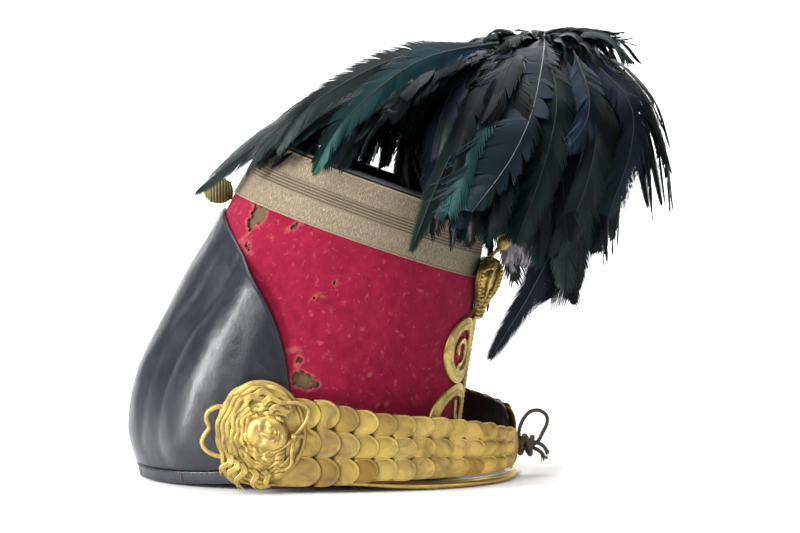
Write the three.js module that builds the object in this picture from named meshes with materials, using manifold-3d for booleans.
// A nineteenth-century officer's shako with a drooping cock-feather plume.
// Millimetres, +X forward, +Y to the wearer's left, +Z up.
// The origin is the middle of the head opening, on the plane that the hat stands on.
import * as THREE from "three";
import Module from "manifold-3d";
import { mergeVertices } from "three/addons/utils/BufferGeometryUtils.js";

const wasm = await Module();
wasm.setup();

// ---- driving dimensions -------------------------------------------------------------------

const gap = 0.3; // air left between two pieces that touch on the real hat
const coreWall = 3; // stiff felt body
const clothWall = 1.2; // wool cloth over it
const leatherWall = 2; // neck guard
const aroundHat = 40; // facets in a full turn

// The cloth's outer surface. Each row is an oval standing on a line from the back to the front.
const ovals = [
  { name: "base", backX: -100, backZ: 0, frontX: 102, frontZ: 0, halfWidth: 82 },
  { name: "nape", backX: -104, backZ: 33, frontX: 103.5, frontZ: 25, halfWidth: 84 },
  { name: "ears", backX: -98, backZ: 66, frontX: 106, frontZ: 49, halfWidth: 84 },
  { name: "temples", backX: -84, backZ: 96, frontX: 109.5, frontZ: 72, halfWidth: 81.5 },
  { name: "waist", backX: -69, backZ: 125, frontX: 113, frontZ: 94, halfWidth: 78 },
  { name: "shoulder", backX: -54, backZ: 154, frontX: 116, frontZ: 113, halfWidth: 74.5 },
  { name: "band_foot", backX: -39.5, backZ: 184, frontX: 118.5, frontZ: 129, halfWidth: 71 },
  { name: "band_head", backX: -18.5, backZ: 218.5, frontX: 122, frontZ: 168, halfWidth: 66 },
];
const bandFoot = 6; // the rows between which the lace band lies
const bandHead = 7;
const sideArch = { height: 4, full: 20, none: 95 }; // how far the rim rises over the ears, and where

const rim = { height: 8.5, thickness: 2.6, flare: 0.8 }; // leather binding round the foot
const guard = {
  halfTurn: 88, // degrees from the middle of the back to the front edges
  standOff: 0.9, // air behind the leather, more than the gap because it bulges
  edgeRow: 1.9, // how high the upright front edges go, counted in rows of ovals
  topRow: 5.65,
  hollow: { depth: 5.5, at: 30, width: 10 },
  ridge: { height: 3, at: 47, width: 12 },
};
const lace = { thickness: 1.2 };
const crownTop = { lip: 3.6, depth: 9, floor: 2 };
const peak = { reach: 145, halfWidth: 89, power: 2.5, halfTurn: 74, thickness: 2, rimHeight: 5, rimWidth: 4 };
const strap = {
  reach: 141,
  halfWidth: 91.5,
  power: 2.5,
  rows: 14,
  plate: 0.8,
  lining: 1.5,
  overlap: 4.5,
  tilt: 6.5, // degrees that each plate lifts at its free edge
  startX: 2,
  tipY: 22,
};
// Bottom and top edges of the scale strap at places along X.
const strapEdges = [
  { x: -5, bottom: 4.5, top: 61 },
  { x: 12, bottom: 4.5, top: 59 },
  { x: 28, bottom: 5.5, top: 54 },
  { x: 50, bottom: 7.5, top: 49.5 },
  { x: 80, bottom: 7.8, top: 46.5 },
  { x: 112, bottom: 8, top: 41 },
  { x: 130, bottom: 8.5, top: 35.5 },
  { x: 142, bottom: 10, top: 30 },
];
const leftStrapRise = 6; // the left strap stands this much higher at its tip
const boss = { x: -19, z: 38, radius: 28, height: 15, tall: 1.14 };
const knob = { length: 17, radius: 8.6 };
const badge = { foot: 44, ringRadius: 21, ringWidth: 7, ringY: 24, thickness: 3.2, ringZ: 83, lowRingZ: 40 };
const crownBadge = { foot: 104, height: 39, lean: 5 };
const laceCord = { diameter: 2.5, sides: 8 };

// ---- small tools --------------------------------------------------------------------------

const vec = (x, y, z) => new THREE.Vector3(x, y, z);
const radians = THREE.MathUtils.degToRad;
const mix = THREE.MathUtils.lerp;
const span = (count) => Array.from({ length: count }, (_, i) => i);

function smooth(value, low, high) {
  const t = THREE.MathUtils.clamp((value - low) / (high - low), 0, 1);
  return t * t * (3 - 2 * t);
}

const bell = (value, middle, width) => Math.exp(-(((value - middle) / width) ** 2));

// A closed body through rings of points. A looped body joins its last ring to its first.
function loft(rings, looped = false) {
  const count = rings[0].length;
  const points = rings.flat();
  const faces = [];
  const turns = looped ? rings.length : rings.length - 1;
  for (let i = 0; i < turns; i++) {
    const next = (i + 1) % rings.length;
    for (let j = 0; j < count; j++) {
      const k = (j + 1) % count;
      const [a, b] = [i * count + j, i * count + k];
      const [c, d] = [next * count + k, next * count + j];
      faces.push(a, b, c, a, c, d);
    }
  }
  if (!looped) {
    capRing(faces, 0, count, true);
    capRing(faces, (rings.length - 1) * count, count, false);
  }
  const geometry = new THREE.BufferGeometry().setFromPoints(points);
  geometry.setIndex(faces);
  return facingOut(geometry);
}

// Closes a ring by joining its points in pairs across it, from its first and last points inwards.
function capRing(faces, first, count, reversed) {
  for (let j = 0; j < Math.floor((count - 1) / 2); j++) {
    const [a, b] = [first + j, first + j + 1];
    const [c, d] = [first + count - 2 - j, first + count - 1 - j];
    const pair = b === c ? [[a, b, d]] : [[a, b, c], [a, c, d]];
    for (const face of pair) faces.push(...(reversed ? face.reverse() : face));
  }
}

function volumeOf(geometry) {
  const p = geometry.getAttribute("position");
  const index = geometry.index.array;
  const [a, b, c] = [vec(), vec(), vec()];
  let six = 0;
  for (let i = 0; i < index.length; i += 3) {
    a.fromBufferAttribute(p, index[i]);
    b.fromBufferAttribute(p, index[i + 1]);
    c.fromBufferAttribute(p, index[i + 2]);
    six += a.dot(b.cross(c));
  }
  return six / 6;
}

function facingOut(geometry) {
  if (volumeOf(geometry) < 0) {
    const index = geometry.index.array;
    for (let i = 0; i < index.length; i += 3) [index[i + 1], index[i + 2]] = [index[i + 2], index[i + 1]];
  }
  return geometry;
}

function solid(geometry) {
  const bare = geometry.clone();
  bare.deleteAttribute("normal");
  bare.deleteAttribute("uv");
  const merged = mergeVertices(bare, 1e-4);
  return new wasm.Manifold(
    new wasm.Mesh({
      numProp: 3,
      vertProperties: new Float32Array(merged.attributes.position.array),
      triVerts: new Uint32Array(merged.index.array),
    }),
  );
}

function geometryOf(manifold) {
  const mesh = manifold.getMesh();
  const geometry = new THREE.BufferGeometry();
  const position = new Float32Array(mesh.numVert * 3);
  for (let i = 0; i < mesh.numVert; i++) {
    const from = i * mesh.numProp;
    position.set(mesh.vertProperties.subarray(from, from + 3), i * 3);
  }
  geometry.setAttribute("position", new THREE.BufferAttribute(position, 3));
  geometry.setIndex(new THREE.BufferAttribute(new Uint32Array(mesh.triVerts), 1));
  return geometry;
}

const joined = (geometries) => geometryOf(geometries.map(solid).reduce((a, b) => a.add(b)));

// A rod of elliptical section along a smooth curve. size(u) gives its half-axes along side and up.
function rod(curve, steps, sides, size, side) {
  const rings = span(steps + 1).map((i) => {
    const u = i / steps;
    const at = curve.getPointAt(u);
    const along = curve.getTangentAt(u);
    const wide = side(u).clone().projectOnPlane(along).normalize();
    const thick = along.clone().cross(wide);
    const [halfWide, halfThick] = size(u);
    return span(sides).map((j) => {
      const angle = (2 * Math.PI * j) / sides;
      return at
        .clone()
        .addScaledVector(wide, halfWide * Math.cos(angle))
        .addScaledVector(thick, halfThick * Math.sin(angle));
    });
  });
  return loft(rings);
}

const leather = (color) => new THREE.MeshStandardMaterial({ color, roughness: 0.35 });
const gilt = new THREE.MeshStandardMaterial({ color: 0xc9a640, roughness: 0.35, metalness: 1 });
const materials = {
  felt: new THREE.MeshStandardMaterial({ color: 0x6d5638, roughness: 0.95 }),
  cloth: new THREE.MeshStandardMaterial({ color: 0x9e1f36, roughness: 0.95 }),
  guard: leather(0x23272e),
  binding: leather(0x1d2027),
  lining: leather(0x100f12),
  lace: new THREE.MeshStandardMaterial({ color: 0x8b7c5e, roughness: 0.7, metalness: 0.3 }),
  bullion: new THREE.MeshStandardMaterial({ color: 0x8c8238, roughness: 0.55, metalness: 0.5 }),
  feather: new THREE.MeshStandardMaterial({ color: 0x0c1216, roughness: 0.45 }),
  cord: leather(0x33261f),
};

const hat = new THREE.Group();

function add(name, geometry, material) {
  const mesh = new THREE.Mesh(geometry, material);
  mesh.name = name;
  hat.add(mesh);
}

// ---- the hat's surface --------------------------------------------------------------------

// One number of the oval table at a fractional row, on a smooth curve through the rows.
function ovalValue(key, row) {
  const at = THREE.MathUtils.clamp(row, 0, ovals.length - 1);
  const low = Math.min(Math.floor(at), ovals.length - 2);
  const value = (i) => ovals[THREE.MathUtils.clamp(i, 0, ovals.length - 1)][key];
  const [a, b, c, d] = [value(low - 1), value(low), value(low + 1), value(low + 2)];
  const t = at - low;
  const startSlope = low === 0 ? c - b : (c - a) / 2;
  const endSlope = low === ovals.length - 2 ? c - b : (d - b) / 2;
  const [t2, t3] = [t * t, t * t * t];
  const curved = (2 * t3 - 3 * t2 + 1) * b + (t3 - 2 * t2 + t) * startSlope;
  return curved + (3 * t2 - 2 * t3) * c + (t3 - t2) * endSlope + (row - at) * (c - b);
}

const sideLift = (x) => sideArch.height * (1 - smooth(Math.abs(x), sideArch.full, sideArch.none));

// The point on the hat at an angle from the front (anticlockwise from above), moved out by some mm.
function onHat(angle, row, out = 0) {
  const back = vec(ovalValue("backX", row), 0, ovalValue("backZ", row));
  const front = vec(ovalValue("frontX", row), 0, ovalValue("frontZ", row));
  const halfLength = front.distanceTo(back) / 2;
  const halfWidth = ovalValue("halfWidth", row);
  const forward = front.clone().sub(back).normalize();
  const across = vec(0, 1, 0);
  const normal = forward
    .clone()
    .multiplyScalar(Math.cos(angle) / halfLength)
    .addScaledVector(across, Math.sin(angle) / halfWidth)
    .normalize();
  const point = front
    .add(back)
    .divideScalar(2)
    .addScaledVector(forward, halfLength * Math.cos(angle))
    .addScaledVector(across, halfWidth * Math.sin(angle))
    .addScaledVector(normal, out);
  point.z += sideLift(point.x) * Math.max(0, 1 - Math.max(row, 0));
  return point;
}

// The row at which the hat's surface stands some mm above its rim, low on the hat.
function rowAtHeight(angle, height) {
  let [low, high] = [0, 1];
  for (let i = 0; i < 20; i++) {
    const row = (low + high) / 2;
    const p = onHat(angle, row);
    if (p.z < sideLift(p.x) + height) low = row;
    else high = row;
  }
  return low;
}

// The point on the front of the hat at a given Y and Z, moved out by some mm.
function onFront(y, z, out = 0) {
  let [low, high] = [0, ovals.length - 1];
  for (let i = 0; i < 24; i++) {
    const row = (low + high) / 2;
    const angle = Math.asin(THREE.MathUtils.clamp(y / ovalValue("halfWidth", row), -1, 1));
    if (onHat(angle, row).z < z) low = row;
    else high = row;
  }
  const angle = Math.asin(THREE.MathUtils.clamp(y / ovalValue("halfWidth", low), -1, 1));
  return onHat(angle, low, out);
}

// A wall right round the hat. Its cross-section is a list of [row, out] with a plain rise in Z after it.
function wallRound(section) {
  const rings = span(aroundHat).map((i) => {
    const angle = (2 * Math.PI * i) / aroundHat;
    return section.map(([row, out, rise = 0]) => onHat(angle, row, out).add(vec(0, 0, rise)));
  });
  return loft(rings, true);
}

// ---- felt body, cloth cover, foot binding and lace band -----------------------------------

function bodyWall(outside, thickness, foot, head) {
  const rows = [0, 1, 2, 3.5, 5, head];
  const up = rows.map((row) => [row, outside, row === 0 ? foot : 0]);
  const down = rows
    .slice()
    .reverse()
    .map((row) => [row, outside - thickness, row === 0 ? foot : 0]);
  return wallRound([...up, ...down]);
}

const clothInside = -clothWall;
const coreOutside = clothInside - gap;
const coreInside = coreOutside - coreWall;
add("felt_body", bodyWall(coreOutside, coreWall, 0.8, bandHead), materials.felt);
add("cloth_cover", bodyWall(0, clothWall, 1.2, bandHead), materials.cloth);

function footBinding() {
  const [inside, outside] = [gap, gap + rim.thickness];
  const section = [
    [0, inside],
    [0, outside - 0.6],
    [0.8, outside],
    [rim.height - 0.8, outside],
    [rim.height, outside - 0.6],
    [rim.height, inside],
    [rim.height / 2, inside],
  ];
  const rings = span(aroundHat).map((i) => {
    const angle = (2 * Math.PI * i) / aroundHat;
    return section.map(([height, out]) => onHat(angle, rowAtHeight(angle, height), out));
  });
  return loft(rings, true);
}
add("foot_binding", footBinding(), materials.binding);

add(
  "lace_band",
  wallRound([
    [bandFoot, gap],
    [bandFoot, gap + lace.thickness],
    [bandHead, gap + lace.thickness],
    [bandHead, gap],
  ]),
  materials.lace,
);

// ---- neck guard ---------------------------------------------------------------------------

// How far the leather stands off the cloth at some degrees from the middle of the back.
function guardRelief(fromBack, row) {
  const low = smooth(row, 0, 0.9);
  const high = 1 - smooth(row, 4.2, 5.6);
  const { hollow, ridge } = guard;
  const hollowAt = hollow.at + 8 * smooth(row, 2.8, 4.2) + 10 * (1 - smooth(row, 0, 0.8));
  const dip = hollow.depth * bell(fromBack, hollowAt, hollow.width);
  const swell = ridge.height * bell(fromBack, ridge.at + 2.4 * row, ridge.width);
  const edge = 1 - smooth(fromBack, guard.halfTurn - 22, guard.halfTurn - 4);
  const stand = 3.2 * edge;
  return (stand + swell - Math.min(dip, stand + swell)) * low * high;
}

// The row that the guard's upper edge reaches at some degrees from the middle of the back.
function guardTop(fromBack) {
  const share = Math.min(1, fromBack / guard.halfTurn);
  return mix(guard.topRow, guard.edgeRow, 0.6 * share ** 1.7 + 0.4 * share ** 7);
}

function neckGuard() {
  const columns = 22;
  const up = [0, 0.16, 0.34, 0.52, 0.7, 0.86, 1];
  const rings = span(columns + 1).map((i) => {
    const turn = mix(-guard.halfTurn, guard.halfTurn, i / columns);
    const angle = Math.PI + radians(turn);
    const [foot, top] = [rowAtHeight(angle, rim.height + gap + 0.4), guardTop(Math.abs(turn))];
    const face = (out) =>
      up.map((share) => {
        const row = mix(foot, top, share);
        return onHat(angle, row, out + guardRelief(Math.abs(turn), row));
      });
    return [...face(guard.standOff + leatherWall), ...face(guard.standOff).reverse()];
  });
  return loft(rings);
}
add("neck_guard", neckGuard(), materials.guard);

// ---- sunken leather top -------------------------------------------------------------------

function topCap() {
  const section = [
    [coreInside - 3, -crownTop.depth],
    [coreInside - 1.6, -crownTop.depth + 1],
    [coreInside - 1, 1],
    [coreInside + 1, crownTop.lip - 0.6],
    [-1.6, crownTop.lip],
    [gap, crownTop.lip - 0.8],
    [gap, gap],
    [coreInside - gap, gap],
    [coreInside - gap, -crownTop.depth - crownTop.floor],
  ];
  const last = ovals[bandHead];
  const up = vec(last.frontX - last.backX, 0, last.frontZ - last.backZ).normalize().cross(vec(0, 1, 0));
  const rings = section.map(([out, rise]) =>
    span(aroundHat).map((i) => onHat((2 * Math.PI * i) / aroundHat, bandHead, out).addScaledVector(up, rise)),
  );
  return loft(rings);
}
add("crown_top", topCap(), materials.guard);

// ---- peak and its gilt edging -------------------------------------------------------------

// Half-width of a rounded outline at some X, and its point at an angle from straight ahead.
function roundedPoint({ reach, halfWidth, power }, angle, inset = 0) {
  const [c, s] = [Math.cos(angle), Math.sin(angle)];
  const [a, b] = [reach - inset, halfWidth - inset];
  const radius = ((Math.abs(c) / a) ** power + (Math.abs(s) / b) ** power) ** (-1 / power);
  return vec(radius * c, radius * s, 0);
}

const peakInside = (angle) => onHat(angle, 0, gap + rim.thickness + rim.flare + gap);

function peakRings(columns, ring) {
  const halfTurn = radians(peak.halfTurn);
  return span(columns + 1).map((i) => ring(mix(-halfTurn, halfTurn, i / columns)));
}

function peakPlate() {
  return loft(
    peakRings(28, (angle) => {
      const outer = roundedPoint(peak, angle, peak.rimWidth + gap);
      const inner = peakInside(angle);
      const closest = inner.clone().setZ(0);
      if (outer.length() < closest.length() + 1.2) outer.setLength(closest.length() + 1.2);
      const at = (share, z) => {
        const p = closest.clone().lerp(outer, share);
        p.z = z + sideLift(p.x);
        return p;
      };
      const [innerTop, outerTop] = [7.4, 4.2];
      return [
        at(0, innerTop - peak.thickness),
        at(1, outerTop - peak.thickness),
        at(1, outerTop),
        at(0.5, mix(innerTop, outerTop, 0.42)),
        at(0, innerTop),
      ];
    }),
  );
}
add("peak", peakPlate(), materials.guard);

function peakEdging() {
  return loft(
    peakRings(34, (angle) => {
      const section = [
        [peak.rimWidth, 0],
        [0.8, 0],
        [0, 0.8],
        [0, 3.2],
        [1.2, peak.rimHeight - 0.4],
        [peak.rimWidth, peak.rimHeight],
      ];
      const least = peakInside(angle).setZ(0).length() + 1.6;
      return section.map(([inset, z]) => {
        const p = roundedPoint(peak, angle, inset);
        if (p.length() < least + peak.rimWidth - inset) p.setLength(least + peak.rimWidth - inset);
        p.z = z + sideLift(p.x);
        return p;
      });
    }),
  );
}
add("peak_edging", peakEdging(), gilt);

// ---- chin scales --------------------------------------------------------------------------

function strapEdge(key, x) {
  const next = Math.max(1, strapEdges.findIndex((row) => row.x >= x));
  const [a, b] = [strapEdges[next - 1], strapEdges[next]];
  return mix(a[key], b[key], THREE.MathUtils.clamp((x - a.x) / (b.x - a.x), 0, 1));
}

// The strap's route seen from above, on the right side of the hat, evenly spaced.
const strapRoute = (() => {
  const startReach = roundedPoint(strap, -Math.acos(strap.startX / strap.halfWidth)).length();
  const start = -Math.acos(strap.startX / startReach);
  const end = -Math.asin(strap.tipY / strap.reach);
  const points = span(60).map((i) => roundedPoint(strap, mix(start, end, i / 59)));
  return new THREE.CatmullRomCurve3(points);
})();
const strapLength = strapRoute.getLength();
const rise = (u, side) => (side > 0 ? leftStrapRise * smooth(u, 0, 1) : 0);

function strapFrame(u, side) {
  const at = strapRoute.getPointAt(THREE.MathUtils.clamp(u, 0, 1));
  const along = strapRoute.getTangentAt(THREE.MathUtils.clamp(u, 0, 1));
  if (u > 1) at.addScaledVector(along, (u - 1) * strapLength);
  const out = vec(along.y, -along.x, 0);
  if (out.dot(at) < 0) out.negate();
  const bottom = strapEdge("bottom", at.x) + rise(u, side);
  const top = strapEdge("top", at.x) + rise(u, side);
  return { at, along, out, bottom, top };
}

// The outline of a plate in its own plane: X along the strap, Y across it, three round lobes ahead.
function plateOutline(height, length, lobes) {
  const shape = new THREE.Shape();
  const half = height / 2;
  const lobe = height / lobes;
  const shoulder = length - Math.min(lobe / 2, length * 0.6);
  shape.moveTo(0, half);
  shape.lineTo(0, -half);
  for (const i of span(lobes)) {
    const middle = -half + lobe * (i + 0.5);
    const steps = lobes === 1 ? 10 : 6;
    for (const j of span(steps + 1)) {
      const angle = mix(-Math.PI / 2, Math.PI / 2, j / steps);
      const pinch = i > 0 && j === 0 ? 0.02 : 0;
      const x = shoulder + (length - shoulder) * Math.cos(angle);
      shape.lineTo(x, middle + (lobe / 2 - pinch) * Math.sin(angle));
    }
  }
  shape.closePath();
  return shape;
}

function scalePlate(index, side) {
  const pitch = 1 / strap.rows;
  const u = index * pitch;
  const { at, out, bottom, top } = strapFrame(u, side);
  const ahead = strapFrame(u + pitch, side);
  const chord = ahead.at.clone().sub(at);
  const length = chord.length() + strap.overlap;
  const tip = index === strap.rows - 1;
  const outline = plateOutline(top - bottom, length, tip ? 1 : 3);
  const sheet = { depth: strap.plate, bevelEnabled: false, curveSegments: 1 };
  const plate = new THREE.ExtrudeGeometry(outline, sheet);
  const tilt = radians(strap.tilt);
  const forward = chord.normalize().multiplyScalar(Math.cos(tilt)).addScaledVector(out, Math.sin(tilt));
  forward.normalize();
  const up = vec(0, 0, 1);
  const outward = up.clone().cross(forward).normalize();
  if (outward.dot(out) < 0) outward.negate();
  const start = at.clone().addScaledVector(out, strap.lining / 2 + gap + 0.2);
  start.z = (bottom + top) / 2;
  const basis = new THREE.Matrix4().makeBasis(forward, up, outward).setPosition(start);
  plate.applyMatrix4(basis);
  if (side > 0) plate.applyMatrix4(new THREE.Matrix4().makeScale(1, -1, 1));
  return geometryOf(solidEitherWay(plate));
}

// A solid from a geometry that a mirror may have turned inside out.
function solidEitherWay(geometry) {
  const bare = geometry.clone();
  bare.deleteAttribute("normal");
  bare.deleteAttribute("uv");
  return solid(facingOut(mergeVertices(bare, 1e-4)));
}

function strapLining(side) {
  const steps = 26;
  const rings = span(steps + 1).map((i) => {
    const u = mix(0.01, 1.0, i / steps);
    const { at, out, bottom, top } = strapFrame(u, side);
    const narrow = 1.2 + 6 * smooth(u, 0.93, 1);
    const corner = (offset, z) => {
      const p = at.clone().addScaledVector(out, offset);
      p.z = z;
      return side > 0 ? vec(p.x, -p.y, p.z) : p;
    };
    const half = strap.lining / 2;
    return [
      corner(-half, bottom + narrow),
      corner(half, bottom + narrow),
      corner(half, top - narrow),
      corner(-half, top - narrow),
    ];
  });
  return loft(rings);
}

for (const [side, word] of [
  [-1, "right"],
  [1, "left"],
]) {
  for (const index of span(strap.rows)) {
    const name = `scale_${word}_${String(index + 1).padStart(2, "0")}`;
    add(name, scalePlate(index, side), gilt);
  }
  add(`strap_lining_${word}`, strapLining(side), materials.lining);
}

// ---- mask bosses --------------------------------------------------------------------------

// A body turned from a profile of [radius, height] places.
function turnedOn(profile, sides) {
  return new THREE.LatheGeometry(profile.map(([r, h]) => new THREE.Vector2(Math.max(r, 1e-6), h)), sides);
}

function maskBoss(side) {
  const profile = [
    [0, 0],
    [boss.radius - 1, 0],
    [boss.radius, 1.6],
    [boss.radius - 2.5, 5],
    [boss.radius - 8, 9],
    [boss.radius - 15, 13],
    [0, boss.height],
  ];
  const dome = turnedOn(profile, 18);
  dome.rotateX(Math.PI / 2);
  dome.scale(1, boss.tall, 1);
  const pieces = [solidEitherWay(dome)];
  for (const y of [-6.5, 6.5]) {
    const ring = new THREE.TorusGeometry(6, 1.5, 5, 10);
    ring.scale(1.1, 1, 1);
    ring.translate(-boss.radius - 3, y - 1, 2.6);
    pieces.push(solidEitherWay(ring));
  }
  const geometry = geometryOf(pieces.reduce((a, b) => a.add(b)));
  const stand = strap.halfWidth + 1.6;
  const tilt = radians(4);
  const out = vec(-Math.sin(tilt), -Math.cos(tilt), 0);
  const forward = vec(Math.cos(tilt), -Math.sin(tilt), 0);
  const standing = new THREE.Matrix4().makeBasis(forward, vec(0, 0, 1), out);
  geometry.applyMatrix4(standing.setPosition(boss.x, -stand, boss.z));
  return side < 0 ? geometry : facingOut(geometry.applyMatrix4(new THREE.Matrix4().makeScale(1, -1, 1)));
}
add("mask_boss_right", maskBoss(-1), gilt);
add("mask_boss_left", maskBoss(1), gilt);

// ---- rear knob ----------------------------------------------------------------------------

function rearKnob() {
  const { length, radius } = knob;
  const profile = [
    [0, 0],
    [radius * 0.6, 0],
    [radius * 0.95, length * 0.25],
    [radius, length * 0.5],
    [radius * 0.86, length * 0.78],
    [radius * 0.5, length * 0.95],
    [0, length],
  ];
  const turned = turnedOn(profile, 16);
  const axis = vec(-0.94, -0.3, 0.03).normalize();
  turned.applyQuaternion(new THREE.Quaternion().setFromUnitVectors(vec(0, 1, 0), axis));
  const seat = onHat(Math.PI, bandFoot + 0.06, gap + lace.thickness + 2.6);
  turned.translate(seat.x, 0, seat.z - 3);
  return geometryOf(solidEitherWay(turned));
}
add("rear_knob", rearKnob(), materials.bullion);

// ---- scroll badge and crown on the front --------------------------------------------------

// A flat bar that lies on the front of the hat along a list of [y, z] places.
function barOnFront(places, width, thickness, looped) {
  const count = places.length;
  const rings = places.map(([y, z], i) => {
    const before = places[looped ? (i + count - 1) % count : Math.max(i - 1, 0)];
    const after = places[looped ? (i + 1) % count : Math.min(i + 1, count - 1)];
    const along = new THREE.Vector2(after[0] - before[0], after[1] - before[1]).normalize();
    const [dy, dz] = [(-along.y * width) / 2, (along.x * width) / 2];
    const corner = (sign, out) => onFront(y + sign * dy, z + sign * dz, gap + out);
    return [corner(-1, 0), corner(1, 0), corner(0.72, thickness), corner(-0.72, thickness)];
  });
  return loft(rings, looped);
}

function ringPlaces(middleY, middleZ, radiusY, radiusZ, count) {
  return span(count).map((i) => {
    const angle = (2 * Math.PI * i) / count;
    return [middleY + radiusY * Math.cos(angle), middleZ + radiusZ * Math.sin(angle)];
  });
}

function scrollBadge() {
  const { ringRadius, ringWidth, ringY, thickness, ringZ, lowRingZ } = badge;
  const half = ringRadius - ringWidth / 2;
  const bars = [barOnFront([[0, lowRingZ - 18], [0, 60], [0, 82], [0, 103]], 9, thickness + 0.6, false)];
  for (const side of [-1, 1]) {
    bars.push(barOnFront(ringPlaces(side * ringY, ringZ, half - 1, half, 16), ringWidth, thickness, true));
    bars.push(barOnFront(ringPlaces(side * ringY, lowRingZ, half + 4, half, 16), ringWidth, thickness, true));
    const volute = span(9).map((i) => {
      const angle = radians(-100 + i * 40);
      const radius = mix(10.5, 3, i / 8);
      return [side * (ringY + 2 - radius * Math.cos(angle)), ringZ + radius * Math.sin(angle)];
    });
    volute.unshift([side * (ringY - 3), ringZ - 17]);
    bars.push(barOnFront(volute, 3.6, thickness - 0.8, false));
  }
  return joined(bars);
}
add("scroll_badge", scrollBadge(), gilt);

// Half-width and depth of the crown at shares of its height.
const crownSlices = [
  { share: 0, halfWidth: 19, depth: 3.5 },
  { share: 0.17, halfWidth: 19, depth: 4.5 },
  { share: 0.2, halfWidth: 17.5, depth: 3.8 },
  { share: 0.45, halfWidth: 23, depth: 7.4 },
  { share: 0.74, halfWidth: 26.5, depth: 9.2 },
  { share: 0.92, halfWidth: 21.5, depth: 7.6 },
  { share: 1, halfWidth: 12, depth: 4 },
];

function crown() {
  const { foot, height, lean } = crownBadge;
  const across = [-1, -0.94, -0.8, -0.5, 0, 0.5, 0.8, 0.94, 1];
  const rings = crownSlices.map(({ share, halfWidth, depth }) => {
    const z = foot + height * share;
    const off = gap + lace.thickness + 0.5 + lean * share ** 1.5;
    const back = across.map((s) => onFront(s * halfWidth, z, off));
    const face = across.map((s) => onFront(s * halfWidth, z, off + 0.8 + depth * Math.sqrt(1 - Math.abs(s) ** 3.2 * 0.97)));
    return [...back, ...face.reverse()];
  });
  const top = onFront(0, foot + height, gap + lace.thickness + lean + 3);
  const orbAt = top.clone().add(vec(11, 0, 12));
  const stemLine = new THREE.LineCurve3(top.clone().add(vec(-1.5, 0, -3)), orbAt);
  const stem = rod(stemLine, 2, 8, () => [1.5, 1.5], () => vec(0, 1, 0));
  const orb = new THREE.SphereGeometry(4, 12, 8);
  orb.scale(1, 1, 1.3);
  orb.rotateY(radians(40));
  orb.translate(orbAt.x + 1.5, 0, orbAt.z + 1.5);
  return geometryOf([solid(loft(rings)), solid(stem), solidEitherWay(orb)].reduce((a, b) => a.add(b)));
}
add("crown_badge", crown(), gilt);

// ---- plume --------------------------------------------------------------------------------

const plumeTop = vec(157, 0, 277); // where the feathers are bound
// Bundles of feathers: the tip, how high the bundle arches, its half-width and half-thickness.
const bundles = [
  { name: "back", tip: [-60, 14, 190], arch: 42, halfWidth: 24, halfThick: 5 },
  { name: "back_left", tip: [-20, 54, 204], arch: 36, halfWidth: 28, halfThick: 5 },
  { name: "back_right", tip: [-16, -42, 206], arch: 40, halfWidth: 26, halfThick: 5 },
  { name: "middle_left", tip: [30, 84, 186], arch: 38, halfWidth: 30, halfThick: 5 },
  { name: "middle_right", tip: [26, -72, 204], arch: 40, halfWidth: 26, halfThick: 5 },
  { name: "left", tip: [74, 90, 158], arch: 40, halfWidth: 30, halfThick: 5 },
  { name: "right", tip: [84, -88, 158], arch: 40, halfWidth: 24, halfThick: 5 },
  { name: "front_left", tip: [116, 84, 140], arch: 40, halfWidth: 28, halfThick: 5 },
  { name: "front_right", tip: [112, -84, 156], arch: 40, halfWidth: 24, halfThick: 5 },
  { name: "fore_left", tip: [160, 64, 124], arch: 42, halfWidth: 26, halfThick: 5 },
  { name: "fore_right", tip: [170, -56, 122], arch: 42, halfWidth: 20, halfThick: 5 },
  { name: "fore_low", tip: [128, -40, 80], arch: 70, halfWidth: 9, halfThick: 4 },
  { name: "fore", tip: [196, -22, 146], arch: 40, halfWidth: 24, halfThick: 5 },
  { name: "fore_out", tip: [236, 6, 175], arch: 40, halfWidth: 20, halfThick: 5 },
  { name: "fore_tip", tip: [240, 30, 198], arch: 30, halfWidth: 16, halfThick: 4 },
];

function bundleCurve({ tip, arch }) {
  const end = vec(...tip);
  const flat = end.clone().sub(plumeTop).setZ(0);
  const out = flat.clone().normalize();
  const reach = flat.length();
  const first = plumeTop.clone().addScaledVector(out, reach * 0.4 + 12);
  first.z = plumeTop.z + mix(0, 14, smooth(tip[0], -20, 110));
  const second = plumeTop.clone().addScaledVector(out, reach * 0.82 + 16);
  second.z = mix(plumeTop.z, end.z, mix(0.72, 0.42, smooth(tip[0], -60, 50))) + arch * 0.35;
  return new THREE.CubicBezierCurve3(plumeTop.clone(), first, second, end);
}

function plume() {
  const bodies = bundles.map((bundle) => {
    const curve = bundleCurve(bundle);
    const sideways = vec(...bundle.tip).sub(plumeTop).setZ(0).normalize().cross(vec(0, 0, 1));
    const size = (u) => {
      const swell = 0.5 + 0.5 * smooth(u, 0, 0.3) - 0.82 * smooth(u, 0.62, 1);
      return [bundle.halfWidth * swell, bundle.halfThick * (0.6 + 0.4 * swell)];
    };
    return solid(rod(curve, 7, 6, size, () => sideways));
  });
  const tuft = new THREE.SphereGeometry(1, 12, 6);
  tuft.scale(36, 30, 11);
  tuft.translate(plumeTop.x - 4, 0, plumeTop.z + 2);
  bodies.push(solidEitherWay(tuft));
  const mass = bodies.reduce((a, b) => a.add(b));
  return geometryOf(mass.subtract(hatEnvelope()));
}

// The upper hat as one plain solid, a little larger than it is, that the feathers stay clear of.
function hatEnvelope() {
  const rings = [
    [bandFoot - 3, 1.4],
    [bandFoot, 2.4],
    [bandHead, 2.4],
    [bandHead + 0.18, 1.8],
  ].map(([row, out]) => span(28).map((i) => onHat((2 * Math.PI * i) / 28, row, out + 1)));
  return solid(loft(rings));
}
add("plume", plume(), materials.feather);

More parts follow.
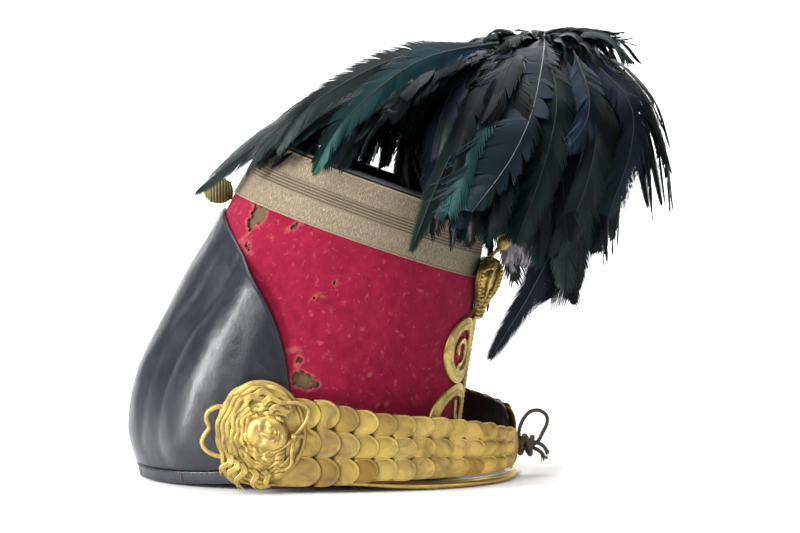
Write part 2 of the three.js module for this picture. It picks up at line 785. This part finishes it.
// ---- plume stem: from its socket behind the crown badge up to the feathers -----------------

function plumeStem() {
  const foot = onHat(0, bandHead, coreInside - 9);
  const last = ovals[bandHead];
  foot.z = last.frontZ - 2.5;
  const curve = new THREE.LineCurve3(foot, vec(plumeTop.x - 14, 0, plumeTop.z - 14));
  return rod(curve, 3, 10, (u) => [mix(4.5, 3, u), mix(4.5, 3, u)], () => vec(0, 1, 0));
}
const stemSolid = solid(plumeStem());
const stemMesh = stemSolid.subtract(solid(hat.getObjectByName("plume").geometry));
add("plume_stem", geometryOf(stemMesh), materials.bullion);

// ---- lace that ties the two straps together over the peak ----------------------------------

// Places that each end of the lace passes, from its strap's tip, through the knot, to its own tip.
const laceRoutes = {
  right: [
    [142.4, -18.2, 19.6],
    [143, -14.5, 19.4],
    [144.2, -9, 18.8],
    [147.2, -2.6, 17.6],
    [150.5, -1.5, 16.9],
    [155, -1.6, 16.2],
    [159.6, -2.4, 13.6],
    [162, -3.6, 10],
  ],
  left: [
    [142.6, 18.2, 25.4],
    [143.4, 14.5, 24],
    [144.4, 9, 21],
    [147.2, 2.6, 17.6],
    [150.5, 1.6, 16.9],
    [154.6, 1.8, 17.6],
    [158.6, 2.2, 21],
    [161.2, 2.8, 26],
    [163.8, 3, 31.4],
    [163.6, 2.8, 36.8],
    [159, 2.2, 40.4],
    [153, 1.2, 39.8],
    [148.6, 0.2, 35.4],
    [146, -0.6, 29.6],
    [145.4, -0.6, 24.8],
    [147.2, 0, 21.2],
    [150.5, 0.1, 19.9],
    [154.5, 0.6, 19.9],
    [159.2, 2.8, 18.4],
    [162.6, 6.4, 15.4],
    [164.6, 9.6, 11.6],
  ],
};
const knotSleeve = { middle: [150.5, 0, 18], length: 5, inside: 5.3, outside: 7.4 };

function laceTube(places) {
  const curve = new THREE.CatmullRomCurve3(places.map((place) => vec(...place)), false, "centripetal");
  const steps = Math.round(curve.getLength() / (2.2 * laceCord.diameter));
  const half = laceCord.diameter / 2;
  return rod(curve, steps, laceCord.sides, () => [half, half], () => vec(0.3, 0.2, 1));
}

function laceKnot() {
  const { length, inside, outside } = knotSleeve;
  const half = length / 2;
  const profile = [
    [inside, -half],
    [outside - 1.5, -half],
    [outside, 0],
    [outside - 1.5, half],
    [inside, half],
    [inside, -half],
  ];
  const sleeve = new THREE.LatheGeometry(profile.map(([r, h]) => new THREE.Vector2(r, h)), 12);
  sleeve.rotateZ(Math.PI / 2);
  sleeve.translate(...knotSleeve.middle);
  return geometryOf(solidEitherWay(sleeve));
}
add("tie_lace_right", laceTube(laceRoutes.right), materials.cord);
add("tie_lace_left", laceTube(laceRoutes.left), materials.cord);
add("lace_knot", laceKnot(), materials.cord);

export default hat;
